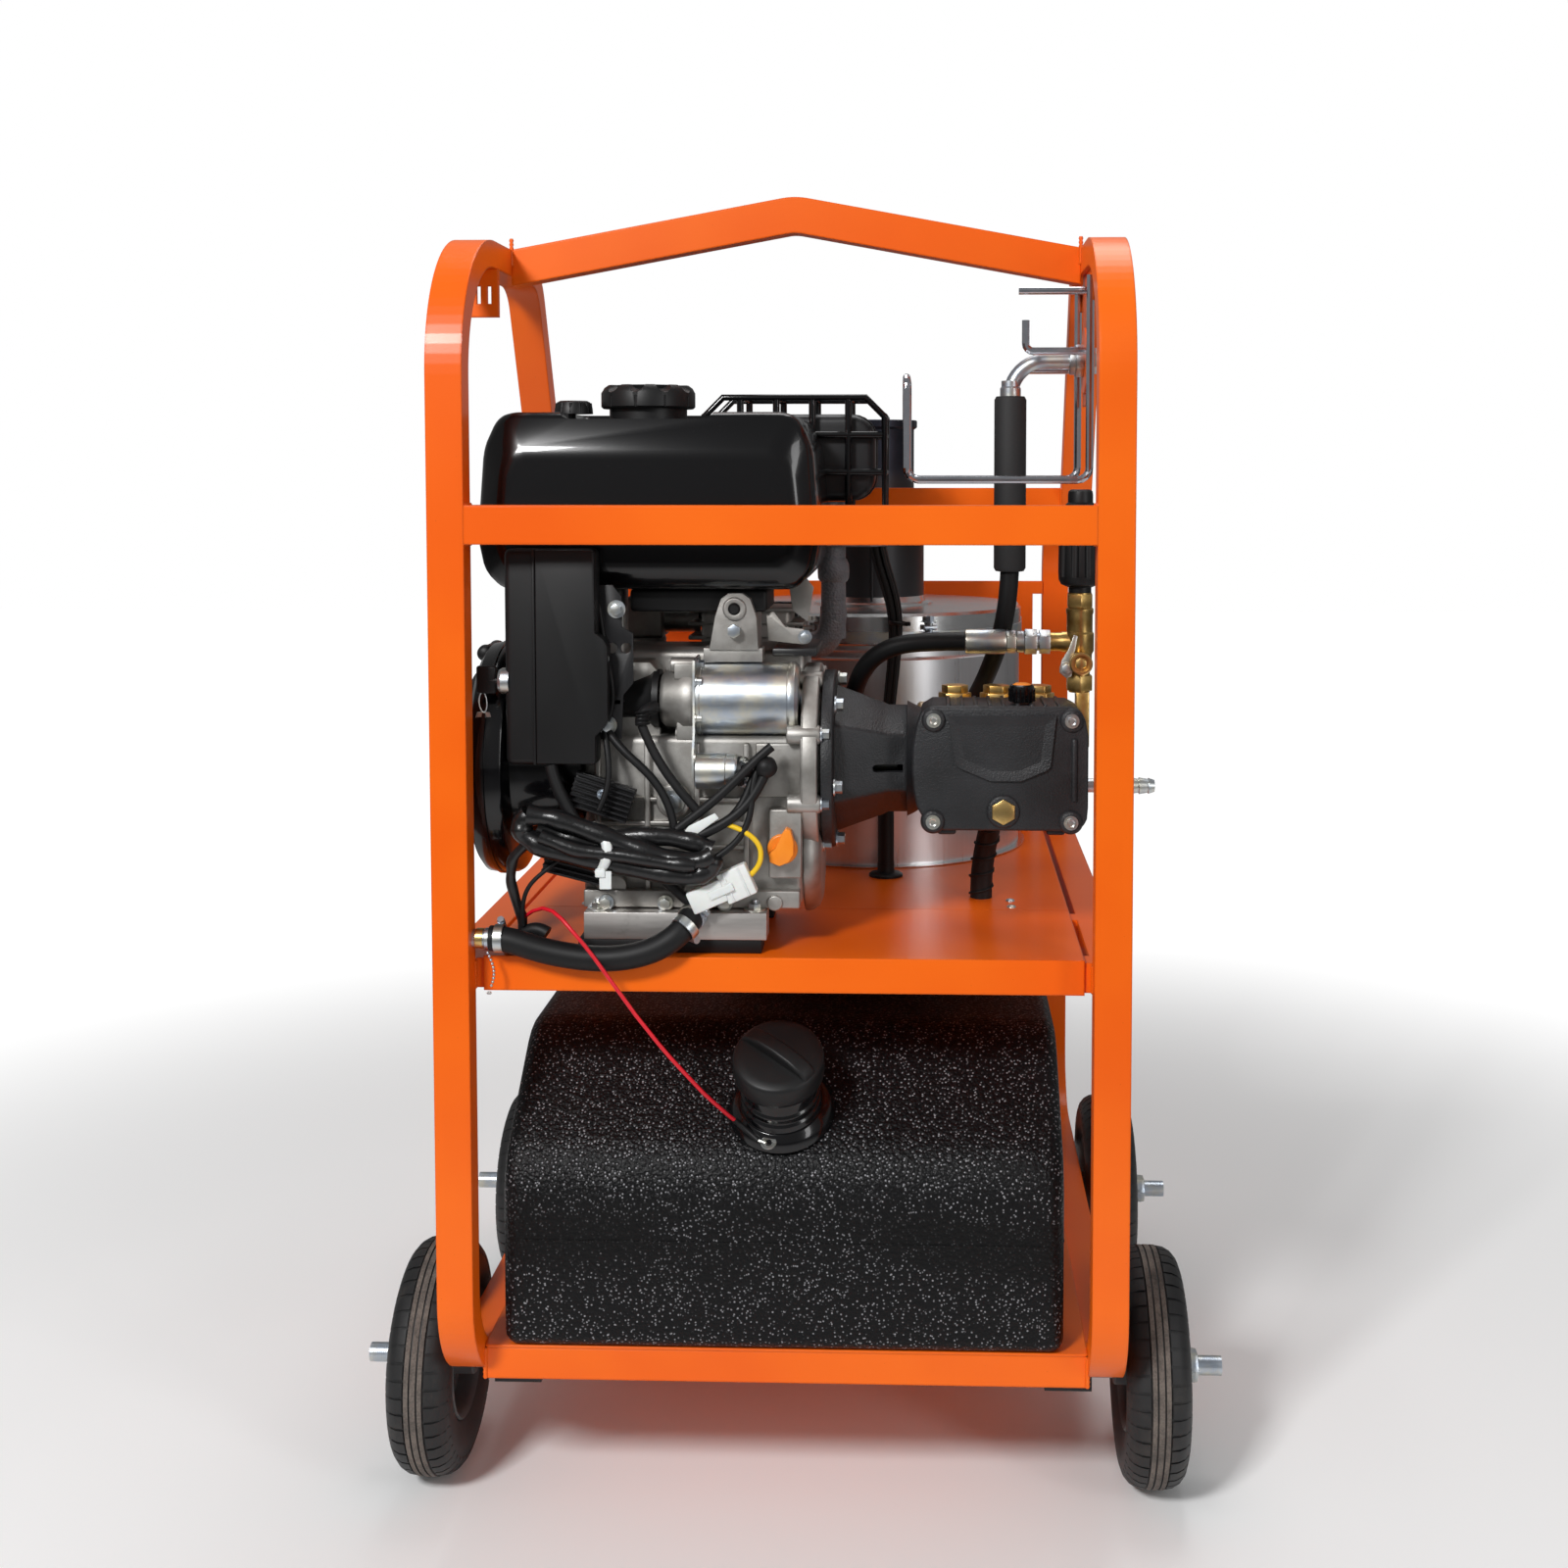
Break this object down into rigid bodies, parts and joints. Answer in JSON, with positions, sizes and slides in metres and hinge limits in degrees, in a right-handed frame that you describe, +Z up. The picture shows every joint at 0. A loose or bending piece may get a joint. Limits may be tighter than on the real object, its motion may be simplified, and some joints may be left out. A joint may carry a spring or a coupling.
{
  "type": "pressure washer",
  "caption": "Engine-driven hot-water high-pressure washer on a wheeled tube frame, with fuel tanks, plunger pump, unloader, boiler and flue.",
  "frame": {"origin": "on the floor under the middle of the machine", "axes": "+X towards the pump side, +Y from the engine end to the boiler end, +Z up"},
  "size_m": [0.914, 0.88, 1.365],
  "materials": {
    "orange_paint": "gloss powder coat",
    "black_steel": "satin black",
    "zinc": "zinc plated",
    "chrome_wire": "polished",
    "tyre_rubber": "matt",
    "grey_rim": "satin dark grey",
    "textured_plastic": "pebble textured",
    "black_plastic": "satin",
    "gloss_black": "gloss",
    "cast_aluminium": "as cast",
    "rail_aluminium": "mill finish",
    "black_casting": "textured black",
    "brass": "satin",
    "hose_rubber": "satin",
    "orange_plastic": "gloss",
    "red_insulation": "gloss",
    "stainless": "brushed"
  },
  "bodies": {
    "frame": {"side_frame_left": "orange_paint", "side_frame_right": "orange_paint", "front_crossbar": "orange_paint", "roof_bar": "orange_paint", "rear_bars": "orange_paint", "bottom_bars": "orange_paint", "deck_rails": "orange_paint", "front_deck": "orange_paint", "rear_deck": "orange_paint", "tank_tray": "orange_paint", "rear_panel": "orange_paint", "side_brackets": "orange_paint", "axle_brackets": "black_steel", "axles": "zinc", "diesel_tank": "textured_plastic", "tank_wire": "red_insulation", "engine_rails": "rail_aluminium", "engine_block": "cast_aluminium", "crankcase_cover": "cast_aluminium", "cylinder_head": "cast_aluminium", "blower_housing": "black_plastic", "recoil_cover": "black_plastic", "fuel_tank": "gloss_black", "control_box": "black_plastic", "starter_motor": "zinc", "solenoid": "zinc", "wiring_hank": "hose_rubber", "drain_hose": "hose_rubber", "muffler": "black_steel", "muffler_guard": "black_steel", "exhaust_elbow": "cast_aluminium", "air_cleaner": "black_plastic", "bell_housing": "black_steel", "pump_crankcase": "black_casting", "pump_cover": "black_casting", "pump_head": "brass", "unloader": "brass", "water_hoses": "hose_rubber", "outlet_hose": "hose_rubber", "pipe_fittings": "zinc", "hook_wires": "chrome_wire", "boiler": "stainless", "flue": "black_steel", "burner": "black_steel"},
    "wheel_front_left": {"tyre_front_left": "tyre_rubber", "rim_front_left": "grey_rim"},
    "wheel_front_right": {"tyre_front_right": "tyre_rubber", "rim_front_right": "grey_rim"},
    "wheel_rear_left": {"tyre_rear_left": "tyre_rubber", "rim_rear_left": "grey_rim"},
    "wheel_rear_right": {"tyre_rear_right": "tyre_rubber", "rim_rear_right": "grey_rim"},
    "diesel_cap": {"diesel_cap": "black_plastic"},
    "fuel_cap": {"fuel_cap": "black_plastic"},
    "oil_filler_cap": {"oil_filler_cap": "orange_plastic"},
    "ignition_key": {"ignition_key": "zinc"},
    "recoil_handle": {"recoil_handle": "black_plastic"},
    "drive_shaft": {"drive_shaft": "zinc"},
    "unloader_knob": {"unloader_knob": "black_plastic"},
    "pump_oil_cap": {"pump_oil_cap": "black_plastic"}
  },
  "joints": [
    {"name": "wheel_front_left_spin", "type": "hinge", "parent": "frame", "child": "wheel_front_left", "pos_m": [-0.38, -0.275, 0.121], "axis": [1, 0, 0], "continuous": true},
    {"name": "wheel_front_right_spin", "type": "hinge", "parent": "frame", "child": "wheel_front_right", "pos_m": [0.38, -0.275, 0.121], "axis": [1, 0, 0], "continuous": true},
    {"name": "wheel_rear_left_spin", "type": "hinge", "parent": "frame", "child": "wheel_rear_left", "pos_m": [-0.38, 0.22, 0.121], "axis": [1, 0, 0], "continuous": true},
    {"name": "wheel_rear_right_spin", "type": "hinge", "parent": "frame", "child": "wheel_rear_right", "pos_m": [0.38, 0.22, 0.121], "axis": [1, 0, 0], "continuous": true},
    {"name": "diesel_cap_turn", "type": "hinge", "parent": "frame", "child": "diesel_cap", "pos_m": [-0.006, -0.37507, 0.46534], "axis": [0, -0.5615, 0.8275], "range_deg": [0, 270]},
    {"name": "fuel_cap_turn", "type": "hinge", "parent": "frame", "child": "fuel_cap", "pos_m": [-0.147, -0.29, 1.148], "axis": [0, 0, 1], "range_deg": [0, 90]},
    {"name": "oil_filler_cap_turn", "type": "hinge", "parent": "frame", "child": "oil_filler_cap", "pos_m": [-0.002, -0.37, 0.695], "axis": [0, -1, 0], "range_deg": [0, 270]},
    {"name": "ignition_key_turn", "type": "hinge", "parent": "frame", "child": "ignition_key", "pos_m": [-0.284, -0.394, 0.865], "axis": [-1, 0, 0], "range_deg": [0, 60]},
    {"name": "recoil_handle_pull", "type": "slide", "parent": "frame", "child": "recoil_handle", "axis": [0, 0, 1], "range_m": [0, 0.35]},
    {"name": "drive_line_spin", "type": "hinge", "parent": "frame", "child": "drive_shaft", "pos_m": [0.08, -0.29, 0.774], "axis": [1, 0, 0], "continuous": true},
    {"name": "unloader_knob_turn", "type": "hinge", "parent": "frame", "child": "unloader_knob", "pos_m": [0.303, -0.256, 0.99], "axis": [0, 0, 1], "range_deg": [-360, 360]},
    {"name": "pump_oil_cap_lift", "type": "slide", "parent": "frame", "child": "pump_oil_cap", "axis": [0, 0, 1], "range_m": [0, 0.06]}
  ]
}
